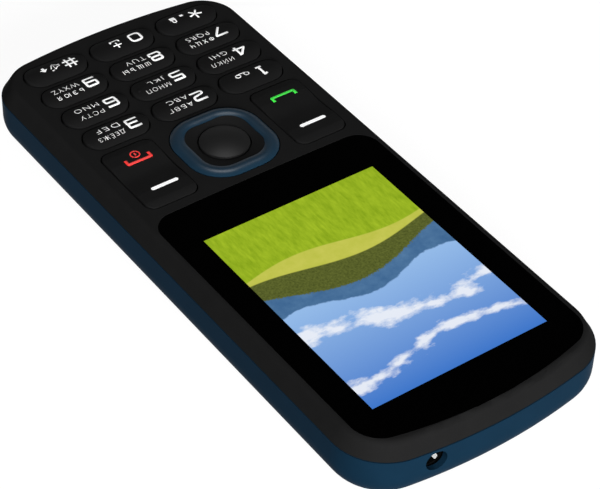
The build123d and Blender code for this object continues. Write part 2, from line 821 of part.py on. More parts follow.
def build_board():
    """Main board, its shield can and the chips under it."""
    with BuildPart() as board:
        add(slab(body_outline(cavity_inset + board_gap), board_base, board_thickness))
        notch = jack_width + 2 * board_gap
        notch_low = jack_end_y() - jack_body_length - board_gap
        length = body_top_y - notch_low
        add(box(notch, length, (jack_x, notch_low + length / 2), board_base - overrun,
                board_thickness + 2 * overrun), mode=Mode.SUBTRACT)
        add(posts(screw_places, screw_radius + screw_clearance, board_base - overrun,
                  board_thickness + 2 * overrun), mode=Mode.SUBTRACT)
    finish(board.part, "main_board")

    with BuildPart() as shield:
        with BuildSketch(Plane.XY.offset(board_base - shield_height)):
            with Locations((0, shield_y)):
                RectangleRounded(shield_width, shield_length, shield_corner)
        extrude(amount=shield_height)
        with BuildSketch(Plane.XY.offset(board_base - shield_height + shield_sheet)):
            with Locations((0, shield_y)):
                size = (shield_width - 2 * shield_sheet, shield_length - 2 * shield_sheet)
                RectangleRounded(*size, shield_corner - shield_sheet)
        extrude(amount=shield_height, mode=Mode.SUBTRACT)
    finish(shield.part, "shield_can")

    with BuildPart() as chips:
        for side, width, length in zip(chip_side_shares, chip_width_shares, chip_length_shares):
            with BuildSketch(Plane.XY.offset(board_base - chip_height)):
                with Locations((side * shield_width, shield_y)):
                    Rectangle(width * shield_width, length * shield_length)
            extrude(amount=chip_height)
    finish(chips.part, "board_chips")


def build_chassis():
    """Inner rear shell: battery bay, screw bosses, speaker ring and motor cradle."""
    edge = rear_edge_radius - chassis_inset
    bay_outer = (bay_width + 2 * bay_wall, bay_length + 2 * bay_wall)
    opening_width = 2 * sim_window_margin + sim_pitch + sim_width + 2 * sim_holder_wall
    opening_low = sim_low_y - sim_window_margin
    opening_high = sim_low_y + sim_length + sim_travel + sim_window_margin
    cradle_width = 2 * (motor_radius + motor_cradle_gap + motor_cradle_wall)
    ring_radius = speaker_radius + speaker_seat_gap + speaker_ring
    with BuildPart() as cavity:
        add(body_block(cavity_inset, floor_top, seam_z + overrun, edge - chassis_wall))
        add(box(*bay_outer, (0, bay_centre_y), floor_top, roof_top - floor_top), mode=Mode.SUBTRACT)
        add(posts(screw_places, chassis_boss_radius, floor_top, board_base - floor_top), mode=Mode.SUBTRACT)
        add(posts([(0, speaker_y)], ring_radius, floor_top, speaker_depth / 2), mode=Mode.SUBTRACT)
        add(box(motor_cradle_length, cradle_width, (motor_x, motor_y), floor_top, motor_z - floor_top),
            mode=Mode.SUBTRACT)
    with BuildPart() as chassis:
        add(body_block(chassis_inset, chassis_base, seam_z, edge))
        add(cavity.part, mode=Mode.SUBTRACT)
        add(box(bay_width, bay_length, (0, bay_centre_y), chassis_base - overrun,
                roof_underside - chassis_base + overrun), mode=Mode.SUBTRACT)
        add(box(opening_width, opening_high - opening_low, (0, (opening_low + opening_high) / 2),
                roof_underside - overrun, bay_roof + 2 * overrun), mode=Mode.SUBTRACT)
        add(posts(screw_places, screw_head_radius + screw_clearance, chassis_base - overrun,
                  screw_seat_z - chassis_base + overrun), mode=Mode.SUBTRACT)
        add(posts(screw_places, screw_radius + screw_clearance, screw_seat_z - overrun,
                  board_base - screw_seat_z + 2 * overrun), mode=Mode.SUBTRACT)
        add(posts([(0, speaker_y)], speaker_radius + speaker_seat_gap, floor_top, speaker_depth),
            mode=Mode.SUBTRACT)
        add(motor_bar(motor_radius + motor_cradle_gap, motor_x - motor_length, 2 * motor_length),
            mode=Mode.SUBTRACT)
        add(upright_round(jack_nose_radius + seat_gap, (jack_x, jack_z), body_top_y,
                          body_top_y - jack_end_y()), mode=Mode.SUBTRACT)
        add(upright_box(usb_width + 2 * seat_gap, usb_height + 2 * seat_gap, (0, usb_z),
                        usb_mouth_y + usb_length, usb_length + 2 * overrun), mode=Mode.SUBTRACT)
        add(upright_round(mic_hole_radius, (mic_x, mic_z), mic_y, mic_y - body_bottom_y), mode=Mode.SUBTRACT)
        connector_y = bay_low_y - connector_length / 2
        add(box(connector_width + 2 * seat_gap, connector_length, (0, connector_y + seat_gap),
                board_base - connector_height - seat_gap, 2 * connector_height), mode=Mode.SUBTRACT)
        add(grille_cut(chassis_base - overrun, chassis_floor + 2 * overrun), mode=Mode.SUBTRACT)
    finish(chassis.part, "chassis")


def motor_bar(radius, start_x, length):
    """Round bar on the vibration motor's axis."""
    with BuildPart() as piece:
        with BuildSketch(Plane.YZ.offset(start_x)):
            with Locations((motor_y, motor_z)):
                Circle(radius)
        extrude(amount=length)
    return piece.part


def grille_cut(base, thickness):
    """Row of sound slots behind the loudspeaker."""
    with BuildPart() as slots:
        with BuildSketch(Plane.XY.offset(base)):
            with Locations((0, speaker_y)):
                with GridLocations(0, grille_pitch, 1, grille_count):
                    SlotOverall(grille_slot_length, grille_slot_width)
        extrude(amount=thickness)
    return slots.part


def build_rear_cover():
    """Shell that wraps the back and sides, and the bridge that closes it over the socket's hole."""
    with BuildPart() as cover:
        add(body_block(0, 0, seam_z - seam_gap, rear_edge_radius))
        add(body_block(cover_wall, cover_wall, seam_z + overrun, rear_edge_radius - cover_wall),
            mode=Mode.SUBTRACT)
        add(upright_round(jack_hole_radius, (jack_x, jack_z), body_top_y + overrun,
                          body_top_y + overrun - jack_end_y()), mode=Mode.SUBTRACT)
        add(upright_box(usb_width + 2 * usb_window_gap, usb_height + 2 * usb_window_gap, (0, usb_z),
                        usb_mouth_y + usb_length, usb_length + 2 * overrun + cover_wall), mode=Mode.SUBTRACT)
        add(upright_round(mic_hole_radius, (mic_x, mic_z), mic_y, mic_y - body_bottom_y + overrun),
            mode=Mode.SUBTRACT)
        add(grille_cut(-overrun, cover_wall + 2 * overrun), mode=Mode.SUBTRACT)
    notch_height = seam_depth + jack_seam_drop
    notch = upright_box(jack_notch_width, notch_height, (jack_x, jack_z + notch_height / 2),
                        body_top_y + overrun, body_top_y + overrun - jack_end_y())
    shell = (cover.part - notch).solids()
    bridge = (cover.part & notch).solids()
    finish(Compound(children=[*shell, *bridge]), "rear_cover")


def build_battery():
    """Battery, and the spring connector that reaches it through the bay's end."""
    with BuildPart() as battery:
        add(box(battery_width, battery_length, (0, bay_centre_y), battery_base, battery_thickness))
        fillet(battery.edges().filter_by(Axis.Y), radius=battery_edge_radius)
    finish(battery.part, "battery")

    with BuildPart() as connector:
        base = board_base - connector_height
        add(box(connector_width, connector_length - 2 * seat_gap, (0, bay_low_y - connector_length / 2),
                base, connector_height))
        with BuildSketch(Plane.XZ.offset(-(bay_low_y + battery_fit - contact_gap))):
            with Locations((0, base + contact_height / 2 + contact_gap)):
                with GridLocations(contact_pitch, 0, contact_count, 1):
                    Rectangle(contact_width, contact_height)
        extrude(amount=connector_length / 2)
    finish(connector.part, "battery_connector")


def build_sims():
    """Two card holders under the board and the cards that slide in them."""
    for number, x in zip(["1", "2"], [-sim_pitch / 2, sim_pitch / 2]):
        slot_width = sim_width + 2 * sim_slot_fit
        outer = slot_width + 2 * sim_holder_wall
        mid_y = sim_low_y + sim_holder_length / 2
        with BuildPart() as holder:
            add(box(outer, sim_holder_length, (x, mid_y), holder_base, board_base - holder_base))
            add(box(slot_width, sim_holder_length + 2 * overrun, (x, mid_y), sim_base - sim_slot_fit,
                    sim_thickness + 2 * sim_slot_fit), mode=Mode.SUBTRACT)
        finish(holder.part, "sim_holder_" + number)

        with BuildPart() as card:
            with BuildSketch(Plane.XY.offset(sim_base)):
                with Locations((x, sim_mid_y)):
                    Rectangle(sim_width, sim_length)
            extrude(amount=sim_thickness)
            corner = card.edges().filter_by(Axis.Z).sort_by(Axis.Y)[-1]
            chamfer(corner, length=sim_corner_cut)
        finish(card.part, "sim_card_" + number)


def build_jack():
    """Headphone socket with a contact strip let into the wall of its bore."""
    mouth = jack_mouth_y()
    with BuildPart() as strip:
        with BuildSketch(Plane.XZ.offset(-(mouth - seat_gap))):
            with Locations((jack_x, jack_z)):
                Circle(jack_bore_radius + contact_strip_depth)
                Circle(jack_bore_radius, mode=Mode.SUBTRACT)
                with Locations(Rotation(0, 0, contact_strip_turn)):
                    with Locations((jack_nose_radius / 2, 0)):
                        Rectangle(jack_nose_radius, contact_strip_width, mode=Mode.INTERSECT)
        extrude(amount=contact_strip_length)
    finish(strip.part, "jack_contact")

    with BuildPart() as socket:
        add(upright_box(jack_width, jack_height, (jack_x, jack_z), jack_end_y(), jack_body_length))
        add(upright_round(jack_nose_radius, (jack_x, jack_z), mouth, mouth - jack_end_y()))
        add(upright_round(jack_bore_radius, (jack_x, jack_z), mouth + overrun, jack_depth + overrun),
            mode=Mode.SUBTRACT)
        add(strip.part, mode=Mode.SUBTRACT)
    finish(socket.part, "headphone_socket")


def build_usb():
    """Charging socket: a folded shell with its tongue."""
    with BuildPart() as socket:
        add(upright_box(usb_width, usb_height, (0, usb_z), usb_mouth_y + usb_length, usb_length))
        inner = (usb_width - 2 * usb_wall, usb_height - 2 * usb_wall)
        add(upright_box(*inner, (0, usb_z), usb_mouth_y + usb_length - 2 * usb_wall, usb_length),
            mode=Mode.SUBTRACT)
        add(upright_box(usb_tongue_width, usb_tongue_thickness, (0, usb_z), usb_mouth_y + usb_length,
                        usb_length - 2 * usb_wall))
    finish(socket.part, "charging_socket")


def build_sound():
    """Loudspeaker, earpiece and microphone."""
    with BuildPart() as speaker:
        add(posts([(0, speaker_y)], speaker_radius, floor_top, speaker_depth))
        fillet(speaker.faces().sort_by(Axis.Z)[-1].edges(), radius=speaker_ring / 2)
        add(posts([(0, speaker_y)], speaker_radius - speaker_ring, floor_top - overrun,
                  overrun + speaker_seat_gap), mode=Mode.SUBTRACT)
    finish(speaker.part, "loudspeaker")
    finish(box(earpiece_width, earpiece_length, (0, earpiece_y), face_back - earpiece_depth - face_play,
               earpiece_depth), "earpiece")
    finish(posts([(mic_x, mic_y)], mic_radius, board_base - mic_depth, mic_depth), "microphone")


def build_motor():
    """Vibration motor in its cradle and the half-round weight on its shaft."""
    end_x = motor_x + motor_length / 2
    with BuildPart() as motor:
        add(motor_bar(motor_radius, motor_x - motor_length / 2, motor_length))
        add(motor_bar(motor_shaft_radius, end_x, motor_weight_gap + motor_weight_length))
    finish(motor.part, "vibration_motor")

    with BuildPart() as weight:
        with BuildSketch(Plane.YZ.offset(end_x + motor_weight_gap)):
            with Locations((motor_y, motor_z)):
                Circle(motor_weight_radius)
                with Locations((0, motor_weight_radius)):
                    Rectangle(2 * motor_weight_radius, 2 * motor_weight_radius, mode=Mode.SUBTRACT)
                Circle(motor_shaft_radius + motor_shaft_gap + motor_weight_gap)
                Circle(motor_shaft_radius + motor_shaft_gap, mode=Mode.SUBTRACT)
        extrude(amount=motor_weight_length)
    finish(weight.part, "motor_weight")


def build_small_pieces():
    """Screws and the antenna strip."""
    with BuildPart() as screws:
        add(posts(screw_places, screw_head_radius, screw_seat_z - screw_head_height, screw_head_height))
        add(posts(screw_places, screw_radius, screw_seat_z, screw_length))
        with BuildSketch(Plane.XY.offset(screw_seat_z - screw_head_height)):
            with Locations(*screw_places):
                RegularPolygon(screw_drive_radius, screw_drive_sides)
        extrude(amount=screw_drive_depth, mode=Mode.SUBTRACT)
    finish(screws.part, "case_screws")
    finish(box(antenna_width, antenna_length, (0, antenna_y), floor_top, antenna_sheet), "antenna_strip")


os.makedirs("parts", exist_ok=True)
build_front_frame()
build_display()
build_number_keys()
build_function_keys()
build_navigation_key()
build_keypad_layers()
build_board()
build_chassis()
build_rear_cover()
build_battery()
build_sims()
build_jack()
build_usb()
build_sound()
build_motor()
build_small_pieces()
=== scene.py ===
from math import cos, pi, radians, sin, sqrt

import bmesh
import bpy
from mathutils import Matrix, Vector


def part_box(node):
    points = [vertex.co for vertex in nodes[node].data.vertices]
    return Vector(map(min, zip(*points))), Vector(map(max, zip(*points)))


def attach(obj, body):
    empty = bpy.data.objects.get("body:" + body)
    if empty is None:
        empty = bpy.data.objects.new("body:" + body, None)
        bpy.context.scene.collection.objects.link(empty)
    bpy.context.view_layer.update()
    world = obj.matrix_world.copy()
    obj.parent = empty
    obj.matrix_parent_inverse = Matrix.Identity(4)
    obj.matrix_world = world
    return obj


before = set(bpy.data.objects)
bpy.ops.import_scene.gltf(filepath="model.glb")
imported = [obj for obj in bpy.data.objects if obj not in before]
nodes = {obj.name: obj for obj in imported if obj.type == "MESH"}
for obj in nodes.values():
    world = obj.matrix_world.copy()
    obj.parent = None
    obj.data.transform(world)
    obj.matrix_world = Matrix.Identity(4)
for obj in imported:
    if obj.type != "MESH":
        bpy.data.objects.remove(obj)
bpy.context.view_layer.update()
MM = 0.001


# Front shell. A moulded black shell with a fine matte grain, which flares in from the seam to
# the flat face. It carries the window and the keys, and is screwed to the inner chassis.

def plastic(name, colour, roughness, grain=0.0, grain_size=0.25, specular=0.3, metallic=0.0,
            mottle=0.12, painted_glow=0.0):
    """A finish with a faint mottle in its colour and gloss, a grain in mm, and a painted glow."""
    mottle_size = 4
    gloss_swing = 0.06
    material = bpy.data.materials.new(name)
    material.use_nodes = True
    tree = material.node_tree
    shader = tree.nodes["Principled BSDF"]
    shader.inputs["Metallic"].default_value = metallic
    shader.inputs["Specular IOR Level"].default_value = specular
    shader.inputs["Emission Color"].default_value = (*colour, 1)
    # Emission here is painted light: a glow in the finish's own colour, with no lamp behind it.
    shader.inputs["Emission Strength"].default_value = painted_glow
    place = tree.nodes.new("ShaderNodeTexCoord")
    cloud = tree.nodes.new("ShaderNodeTexNoise")
    cloud.inputs["Scale"].default_value = 1 / (mottle_size * MM)
    cloud.inputs["Detail"].default_value = 3
    tree.links.new(place.outputs["Object"], cloud.inputs["Vector"])
    tint = tree.nodes.new("ShaderNodeMix")
    tint.data_type = "RGBA"
    tint.inputs["A"].default_value = [c * (1 - mottle) for c in colour] + [1]
    tint.inputs["B"].default_value = [min(1, c * (1 + mottle)) for c in colour] + [1]
    tree.links.new(cloud.outputs["Fac"], tint.inputs["Factor"])
    tree.links.new(tint.outputs["Result"], shader.inputs["Base Color"])
    gloss = tree.nodes.new("ShaderNodeMapRange")
    gloss.inputs["To Min"].default_value = roughness * (1 - gloss_swing)
    gloss.inputs["To Max"].default_value = min(1, roughness * (1 + gloss_swing))
    tree.links.new(cloud.outputs["Fac"], gloss.inputs["Value"])
    tree.links.new(gloss.outputs["Result"], shader.inputs["Roughness"])
    if grain:
        pits = tree.nodes.new("ShaderNodeTexNoise")
        pits.inputs["Scale"].default_value = 1 / (grain_size * MM)
        bump = tree.nodes.new("ShaderNodeBump")
        bump.inputs["Strength"].default_value = 1
        bump.inputs["Distance"].default_value = grain * MM
        tree.links.new(place.outputs["Object"], pits.inputs["Vector"])
        tree.links.new(pits.outputs["Fac"], bump.inputs["Height"])
        tree.links.new(bump.outputs["Normal"], shader.inputs["Normal"])
    return material


def dress(material, *names):
    """Give these carried-over nodes one finish."""
    for name in names:
        for holder in nodes[name].material_slots:
            holder.material = material


frame_black = plastic("frame_black", (0.0106, 0.0106, 0.0107), 0.5, grain=0.004, specular=0.001)
dress(frame_black, "front_frame")


# Display window. One pane of glass-clear plastic, printed black round its edge on the inside
# and polished outside, taped into the pocket of the front shell.

glass_black = (0.0003, 0.0003, 0.0003)
glass_roughness = 0.06
glass_specular = 0.003
window_black = plastic("window_black", glass_black, glass_roughness, specular=glass_specular, mottle=0.02)
dress(window_black, "display_window")
dress(plastic("tape_black", (0.01, 0.01, 0.01), 0.9, grain=0.01), "window_tape")


# Lit screen. The lit area of the colour display, which shows through the clear part of the
# window as a crisp 3:4 picture: a generic wallpaper of layered bands under a blue sky.

_, window_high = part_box("display_window")
screen_width = 36.72 * MM
screen_height = 48.96 * MM
screen_y = 26.44 * MM
screen_lift = 0.012 * MM

sheet = bmesh.new()
bmesh.ops.create_grid(sheet, x_segments=1, y_segments=1, size=0.5)
bmesh.ops.scale(sheet, vec=(screen_width, screen_height, 1), verts=sheet.verts)
bmesh.ops.translate(sheet, vec=(0, screen_y, window_high.z + screen_lift), verts=sheet.verts)
screen_mesh = bpy.data.meshes.new("lit_screen")
sheet.to_mesh(screen_mesh)
sheet.free()
lit_screen = bpy.data.objects.new("lit_screen", screen_mesh)
bpy.context.collection.objects.link(lit_screen)

picture = bpy.data.materials.new("screen_picture")
picture.use_nodes = True
tree = picture.node_tree


def value_of(operation, *inputs, clamp=False):
    """One step of arithmetic on the picture's values."""
    step = tree.nodes.new("ShaderNodeMath")
    step.operation = operation
    step.use_clamp = clamp
    for socket, item in zip(step.inputs, inputs):
        if isinstance(item, (int, float)):
            socket.default_value = item
        else:
            tree.links.new(item, socket)
    return step.outputs[0]


def colour_over(mask, under, over):
    """The over colour laid on the under colour where the mask is 1."""
    mix = tree.nodes.new("ShaderNodeMix")
    mix.data_type = "RGBA"
    tree.links.new(mask, mix.inputs["Factor"])
    for socket, item in (("A", under), ("B", over)):
        if isinstance(item, tuple):
            mix.inputs[socket].default_value = (*item, 1)
        else:
            tree.links.new(item, mix.inputs[socket])
    return mix.outputs["Result"]


def shade(red, green, blue):
    """A screen colour given in display values, as a linear one."""
    return tuple((c / 255) ** 2.2 for c in (red, green, blue))


def soft_noise(scale, detail, stretch=1.0):
    """Cloudy values over the picture, drawn out sideways by the stretch."""
    placed = tree.nodes.new("ShaderNodeMapping")
    placed.inputs["Scale"].default_value = (1, stretch, 1)
    tree.links.new(place.outputs["Object"], placed.inputs["Vector"])
    texture = tree.nodes.new("ShaderNodeTexNoise")
    texture.inputs["Scale"].default_value = scale
    texture.inputs["Detail"].default_value = detail
    texture.inputs["Roughness"].default_value = 0.6
    tree.links.new(placed.outputs["Vector"], texture.inputs["Vector"])
    return texture.outputs["Fac"]


place = tree.nodes.new("ShaderNodeTexCoord")
fitted = tree.nodes.new("ShaderNodeMapping")
fitted.inputs["Location"].default_value = (0.5, 0.5 - screen_y / screen_height, 0)
fitted.inputs["Scale"].default_value = (1 / screen_width, 1 / screen_height, 1)
tree.links.new(place.outputs["Object"], fitted.inputs["Vector"])
parts = tree.nodes.new("ShaderNodeSeparateXYZ")
tree.links.new(fitted.outputs["Vector"], parts.inputs["Vector"])
across, up = parts.outputs["X"], parts.outputs["Y"]


def wave(height, swing, turns, phase, rough=0.0, texture=None):
    """Height of a band's upper edge: a sine across the picture, roughened by the texture."""
    swell = value_of("SINE", value_of("MULTIPLY_ADD", across, turns * 2 * pi, phase))
    edge = value_of("MULTIPLY_ADD", swell, swing, height)
    if texture is not None:
        edge = value_of("MULTIPLY_ADD", texture, rough, edge)
    return edge


def below(edge, softness):
    """1 under this edge and 0 above it."""
    gap = value_of("SUBTRACT", edge, up)
    return value_of("MULTIPLY_ADD", gap, 1 / softness, 0.5, clamp=True)


sky_turn = value_of("MULTIPLY_ADD", up, 1.45, -0.55, clamp=True)
sky = colour_over(sky_turn, shade(158, 196, 238), shade(38, 104, 196))
fine = soft_noise(2600, 4)
coarse = soft_noise(420, 5)
mist = soft_noise(150, 5, 1.8)
for height, swing, turns, phase, depth in ((0.66, 0.05, 0.7, 0.4, 0.10), (0.86, 0.035, 0.9, 2.6, 0.06)):
    middle = wave(height, swing, turns, phase)
    reach = value_of("ABSOLUTE", value_of("SUBTRACT", up, middle))
    band = value_of("MULTIPLY_ADD", reach, -1 / depth, 1.0)
    veil = value_of("MULTIPLY_ADD", mist, 2.6, value_of("ADD", band, -1.9))
    veil = value_of("MULTIPLY", value_of("MULTIPLY", veil, 2.4, clamp=True), 0.92)
    sky = colour_over(veil, sky, shade(236, 240, 248))
ridge = below(wave(0.50, 0.035, 1.3, 3.6, 0.03, coarse), 0.006)
view = colour_over(ridge, sky, colour_over(coarse, shade(44, 84, 130), shade(92, 130, 168)))
slope = below(wave(0.40, 0.06, 0.75, 5.4, 0.03, fine), 0.006)
view = colour_over(slope, view, colour_over(fine, shade(38, 48, 20), shade(116, 124, 60)))
strip = below(wave(0.325, 0.035, 0.8, 5.9), 0.005)
view = colour_over(strip, view, colour_over(coarse, shade(176, 184, 62), shade(206, 204, 96)))
field = below(wave(0.27, 0.03, 0.9, 0.6), 0.005)
blades = soft_noise(1500, 4, 0.25)
view = colour_over(field, view, colour_over(blades, shade(104, 138, 18), shade(178, 204, 52)))

shader = tree.nodes["Principled BSDF"]
shader.inputs["Base Color"].default_value = (*glass_black, 1)
shader.inputs["Roughness"].default_value = glass_roughness
shader.inputs["Specular IOR Level"].default_value = glass_specular
shader.inputs["Emission Strength"].default_value = 1.0
tree.links.new(view, shader.inputs["Emission Color"])
screen_mesh.materials.append(picture)
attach(lit_screen, "main_body")


# Display module. The liquid crystal cell on its white light guide, held in a pressed steel
# tray on the board, with a folded film cable at its lower end.

dress(plastic("lcd_glass", (0.02, 0.025, 0.03), 0.1, specular=0.5), "lcd_cell")
dress(plastic("backlight_white", (0.8, 0.8, 0.8), 0.35), "backlight")
dress(plastic("cable_amber", (0.35, 0.14, 0.02), 0.3, grain=0.002, grain_size=0.8), "lcd_cable")
steel = plastic("shield_steel", (0.56, 0.56, 0.55), 0.34, grain=0.002, grain_size=0.5, metallic=1.0,
                mottle=0.05)
dress(steel, "lcd_holder", "shield_can", "sim_holder_1", "sim_holder_2", "charging_socket",
      "earpiece", "microphone", "vibration_motor")


# Number keys. Twelve crowned black caps on one rubber mat, each pressed down on a steel dome.
# Their black is a shade deeper than the shell's, and a little smoother.

key_black = plastic("key_black", (0.0086, 0.0086, 0.0087), 0.42, grain=0.003, specular=0.006)
key_names = ["1", "2", "3", "4", "5", "6", "7", "8", "9", "star", "0", "hash"]
for name in key_names:
    dress(key_black, "key_" + name)


# Key legends. Laser-cut signs in the keys' black lacquer, which show the white plastic beneath
# with a faint painted glow that keeps them evenly white: a large squared digit on the left of
# each key, and two lines of small letters or a sign beside it. All sizes here are in mm.

legend_lift = 0.014
legend_depth = 0.02
weld_gap = 0.002
strip_height = 0.35


def rounded(points, radius, closed):
    """The points of a stroke with each corner turned in steps, within its share of each side."""
    steps = 4
    sharpest = 0.02
    share = 0.49
    out = []
    count = len(points)
    for index, point in enumerate(points):
        if not closed and index in (0, count - 1):
            out.append(point)
            continue
        here = Vector(point)
        back = (Vector(points[index - 1]) - here).normalized()
        ahead = (Vector(points[(index + 1) % count]) - here).normalized()
        cut = radius / sqrt(max(sharpest, (1 + back.dot(ahead)) / (1 - back.dot(ahead))))
        cut = min(cut, share * (Vector(points[index - 1]) - here).length,
                  share * (Vector(points[(index + 1) % count]) - here).length) if radius else 0
        start, end = here + back * cut, here + ahead * cut
        for step in range(steps + 1):
            t = step / steps
            out.append(tuple(start * (1 - t) ** 2 + here * 2 * t * (1 - t) + end * t**2))
    return out


def strokes(paths, width):
    """A flat mesh of ribbons of this width along the paths: points, corner radius and closed."""
    curve = bpy.data.curves.new("strokes", "CURVE")
    curve.dimensions = "3D"
    curve.twist_mode = "Z_UP"
    curve.extrude = width / 2
    for points, radius, closed in paths:
        line = rounded(points, radius, closed)
        spline = curve.splines.new("POLY")
        spline.points.add(len(line) - 1)
        for knot, (x, y) in zip(spline.points, line):
            knot.co = (x, y, 0, 1)
            knot.tilt = pi / 2
        spline.use_cyclic_u = closed
    holder = bpy.data.objects.new("strokes", curve)
    mesh = bpy.data.meshes.new_from_object(holder)
    bpy.data.objects.remove(holder)
    bpy.data.curves.remove(curve)
    return mesh


def lettering(words, left, right, low, high):
    """A flat mesh of the words in a plain sans letter, fitted to this box.

    Tails below the line and marks above the capitals stand out of the box.
    """
    text = bpy.data.curves.new("lettering", "FONT")
    text.body = words
    text.offset = letter_thinning
    text.space_character = letter_spacing
    text.resolution_u = 3
    holder = bpy.data.objects.new("lettering", text)
    mesh = bpy.data.meshes.new_from_object(holder)
    bpy.data.objects.remove(holder)
    bpy.data.curves.remove(text)
    xs = [v.co.x for v in mesh.vertices]
    ys = [v.co.y for v in mesh.vertices]
    base = 0 if any(letter in words for letter in "ЦЩДQЁЙ") else min(ys)
    top = max(ys) if base or not any(letter in words for letter in "ЁЙ") else capital_height
    stretch = (right - left) / (max(xs) - min(xs)), (high - low) / (top - base)
    mesh.transform(Matrix.Translation((-min(xs), -base, 0)))
    mesh.transform(Matrix.Diagonal((*stretch, 1, 1)))
    mesh.transform(Matrix.Translation((left, low, 0)))
    return mesh


def stroked(words, left, right, low, high):
    """Flat meshes of the words in drawn letters, spread evenly over this box."""
    size = high - low
    room = right - left - size * sum(letter_strokes[letter][0] for letter in words)
    meshes = []
    for letter in words:
        width, paths = letter_strokes[letter]
        mesh = strokes([([(x * size, y * size) for x, y in points], radius * size, closed)
                        for points, radius, closed in paths], letter_line)
        mesh.transform(Matrix.Translation((left, low, 0)))
        meshes.append(mesh)
        left += width * size + room / (len(words) - 1)
    return meshes


def printed(name, meshes, surface, material, body):
    """One thin printed piece from flat meshes, laid on the surface z = surface(x, y)."""
    print_mesh = bmesh.new()
    for mesh in meshes:
        print_mesh.from_mesh(mesh)
        bpy.data.meshes.remove(mesh)
    bmesh.ops.remove_doubles(print_mesh, verts=print_mesh.verts, dist=weld_gap)
    ys = [v.co.y for v in print_mesh.verts]
    cut = min(ys) + strip_height
    while cut < max(ys):
        whole = print_mesh.verts[:] + print_mesh.edges[:] + print_mesh.faces[:]
        bmesh.ops.bisect_plane(print_mesh, geom=whole, plane_co=(0, cut, 0), plane_no=(0, 1, 0))
        cut += strip_height
    for vertex in print_mesh.verts:
        vertex.co.z = surface(vertex.co.x, vertex.co.y) + legend_lift
    bmesh.ops.recalc_face_normals(print_mesh, faces=print_mesh.faces)
    for face in print_mesh.faces:
        if face.normal.z < 0:
            face.normal_flip()
    bmesh.ops.solidify(print_mesh, geom=print_mesh.faces[:], thickness=legend_depth)
    bmesh.ops.scale(print_mesh, vec=(MM, MM, MM), verts=print_mesh.verts)
    mesh = bpy.data.meshes.new(name)
    print_mesh.to_mesh(mesh)
    print_mesh.free()
    mesh.materials.append(material)
    piece = bpy.data.objects.new(name, mesh)
    bpy.context.collection.objects.link(piece)
    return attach(piece, body)


def ring_points(x, y, radius, turns):
    """The points round a circle at these turns in degrees."""
    return [(x + radius * cos(a), y + radius * sin(a)) for a in [radians(turn) for turn in turns]]


# The legends' white carries a painted glow, so they stay white where the light falls off.
legend_white = plastic("legend_white", (0.80, 0.80, 0.80), 0.5, mottle=0.04, painted_glow=0.35)
letter_thinning = -0.02
letter_spacing = 1.2
capital_height = 0.72
digit_line = 0.5
thin_line = 0.4
digit_scale = (0.93, 0.96)
narrow_shift = 0.7
star_turns = range(90, 450, 72)
dot_turns = range(0, 360, 30)
digit_strokes = {
    "1": [([(0.25, 0.26), (1.62, 0.26)], 0, False), ([(0.93, 0.52), (0.93, 3.0)], 0, False),
          ([(0.67, 2.72), (0.2, 2.72)], 0, False)],
    "2": [([(0, 2.74), (2.64, 2.74), (2.64, 1.62), (0.26, 1.15), (0.26, 0.26), (2.9, 0.26)],
           0.4, False)],
    "3": [([(0, 2.74), (2.6, 2.74), (2.6, 1.45)], 0.3, False),
          ([(2.64, 1.6), (2.64, 0.26), (0, 0.26)], 0.3, False), ([(0.35, 1.5), (2.35, 1.5)], 0, False)],
    "4": [([(2.1, 0), (2.1, 3.0)], 0, False), ([(1.86, 2.78), (0.2, 0.86), (1.84, 0.86)], 0.1, False),
          ([(2.36, 0.86), (2.9, 0.86)], 0, False)],
    "5": [([(2.75, 2.74), (0.26, 2.74), (0.26, 1.62), (1.4, 1.62)], 0.08, False),
          ([(1.4, 1.62), (2.64, 1.62), (2.64, 0.26), (0, 0.26)], 0.45, False)],
    "6": [([(2.75, 2.74), (0.26, 2.74), (0.26, 0.26), (2.64, 0.26), (2.64, 1.55), (0.52, 1.55)],
           0.36, False)],
    "7": [([(0, 2.74), (2.75, 2.74), (2.55, 2.3), (0.75, 0.1)], 0.2, False)],
    "8": [([(0.36, 2.74), (2.54, 2.74), (2.54, 1.62), (0.36, 1.62)], 0.4, True),
          ([(0.26, 1.36), (0.26, 0.26), (2.64, 0.26), (2.64, 1.36)], 0.4, False)],
    "9": [([(0.15, 0.26), (2.64, 0.26), (2.64, 2.74), (0.26, 2.74), (0.26, 1.45), (2.38, 1.45)],
           0.36, False)],
    "0": [([(0.26, 0.26), (2.64, 0.26), (2.64, 2.74), (0.26, 2.74)], 0.75, True)],
    "star": [(list(arm), 0, False) for arm in zip(ring_points(1.45, 1.5, 0.4, star_turns),
                                                  ring_points(1.45, 1.5, 1.5, star_turns))]
            + [(ring_points(1.45, 1.5, 0.2, star_turns), 0, True)],
    "hash": [([(x, 0), (x, 3.0)], 0, False) for x in (0.88, 2.12)]
            + [([(x0, y), (x1, y)], 0, False) for y in (0.92, 2.08)
               for x0, x1 in ((0, 0.7), (1.06, 1.94), (2.3, 3.0))],
}
digit_left = [-19.15, -4.57, 10.02]
digit_low = [-33.72, -41.2, -48.58, -55.98]
letters = {
    "2": [("АБВГ", -1.2, 4.05, 0), ("ABC", -1.4, 2.95, 1)],
    "3": [("ДЕЁЖЗ", 13.7, 19.3, 0), ("DEF", 13.7, 18.45, 1)],
    "4": [("ИЙКЛ", -15.35, -10.5, 0), ("GHI", -15.25, -11.55, 1)],
    "5": [("МНОП", -0.95, 4.2, 0), ("JKL", -0.9, 2.7, 1)],
    "6": [("РСТУ", 13.75, 18.7, 0), ("MNO", 13.7, 18.7, 1)],
    "7": [("ФХЦЧ", -15.7, -10.6, 0), ("PQRS", -15.85, -10.85, 1)],
    "8": [("ШЩЪЫ", -1.1, 4.7, 0), ("TUV", -1.25, 3.0, 1)],
    "9": [("ЬЭЮЯ", 13.72, 19.1, 0), ("WXYZ", 13.65, 19.2, 1)],
}
letter_line = 0.12
